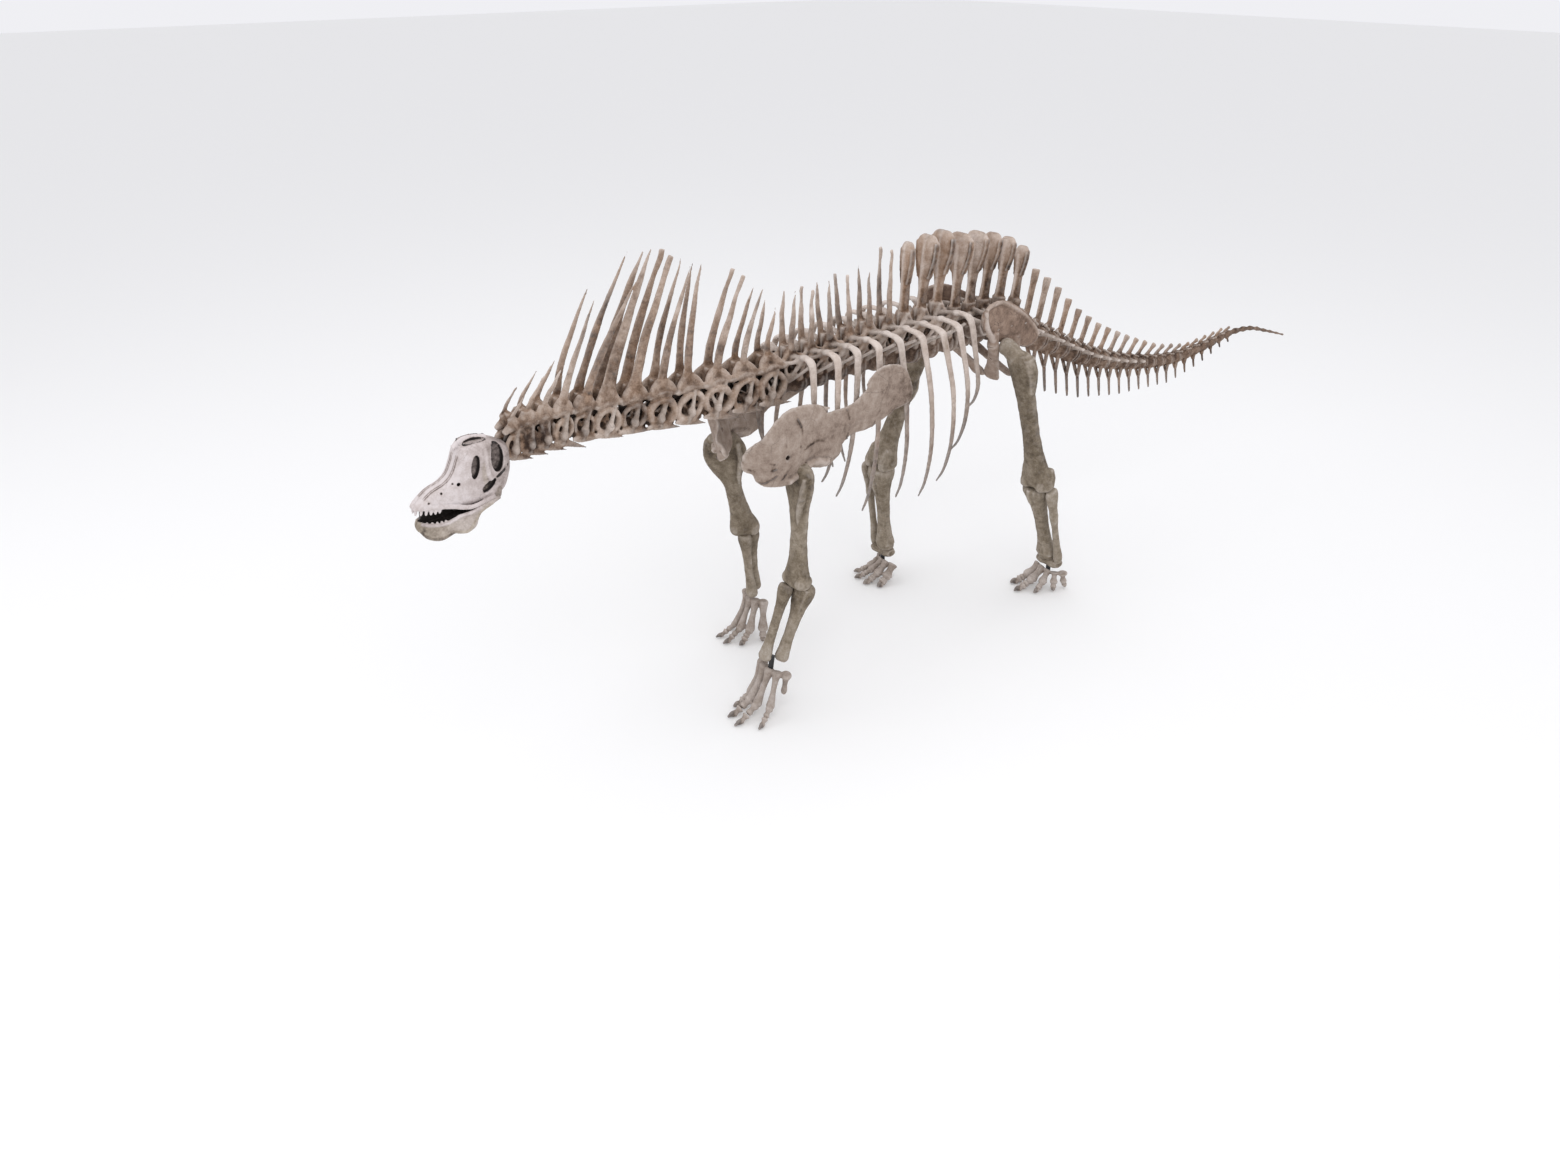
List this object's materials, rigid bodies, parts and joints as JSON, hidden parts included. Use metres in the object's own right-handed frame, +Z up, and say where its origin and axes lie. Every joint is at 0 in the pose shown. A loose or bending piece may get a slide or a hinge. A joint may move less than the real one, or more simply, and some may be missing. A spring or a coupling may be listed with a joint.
{
  "type": "mounted dinosaur skeleton",
  "caption": "Life-size mounted cast skeleton of a plant-eating dinosaur with paired long neck spines, walking pose, standing on its own four feet.",
  "frame": {"origin": "on the floor, under the middle of the skeleton's length and width", "axes": "+Z up, -X towards the snout, +X towards the tail tip, -Y towards the animal's left side"},
  "size_m": [7.9074, 1.1054, 2.8096],
  "materials": {
    "bone": "matt painted cast bone",
    "skull_bone": "matt painted cast bone, paler",
    "steel": "satin black paint"
  },
  "bodies": {
    "root": {"skull": "skull_bone", "jaw": "skull_bone", "neck_front": "bone", "neck_middle": "bone", "neck_rear": "bone", "ribcage_left": "bone", "ribcage_right": "bone", "sacrum": "bone", "ilium_left": "bone", "ilium_right": "bone", "pubis_left": "bone", "pubis_right": "bone", "ischium_left": "bone", "ischium_right": "bone", "tail_base": "bone", "tail_middle": "bone", "tail_rear": "bone", "tail_tip": "bone", "scapula_left": "bone", "scapula_right": "bone", "humerus_left": "bone", "humerus_right": "bone", "ulna_left": "bone", "ulna_right": "bone", "radius_left": "bone", "radius_right": "bone", "manus_left": "bone", "manus_right": "bone", "femur_left": "bone", "femur_right": "bone", "tibia_left": "bone", "tibia_right": "bone", "fibula_left": "bone", "fibula_right": "bone", "astragalus_left": "bone", "astragalus_right": "bone", "pes_left": "bone", "pes_right": "bone", "stand_pin_wrist_left": "steel", "stand_pin_wrist_right": "steel", "stand_pin_ankle_left": "steel", "stand_pin_ankle_right": "steel"}
  },
  "joints": []
}
